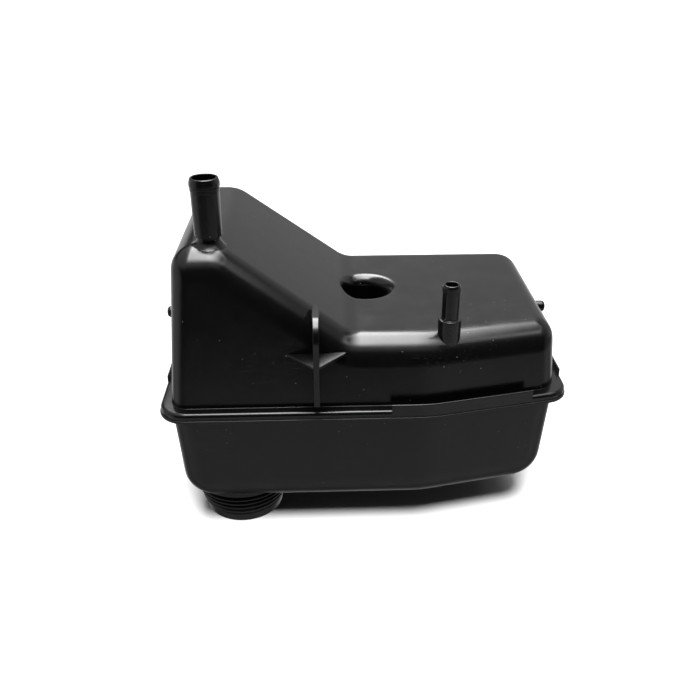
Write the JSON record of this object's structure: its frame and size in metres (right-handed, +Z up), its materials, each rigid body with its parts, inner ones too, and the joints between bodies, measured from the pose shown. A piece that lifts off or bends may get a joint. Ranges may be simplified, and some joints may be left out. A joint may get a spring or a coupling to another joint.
{
  "type": "coolant expansion tank",
  "caption": "Moulded coolant expansion tank: two welded half shells with a sloped top, filler neck, hose spigots, a round well and a front rib.",
  "frame": {"origin": "centre of the filler neck's mouth, on the plane that the upturned tank stands on", "axes": "+Z up out of the neck through the tank as pictured (upside down to service), +X from the tall end towards the low end with the small spigot, +Y from the ribbed front wall to the rear wall"},
  "size_m": [0.3061, 0.2085, 0.2842],
  "materials": {
    "lower_shell": "black moulded plastic, satin",
    "upper_shell": "black moulded plastic, slightly glossy with light scuffs"
  },
  "bodies": {
    "root": {"lower_shell": "lower_shell", "upper_shell": "upper_shell"}
  },
  "joints": []
}
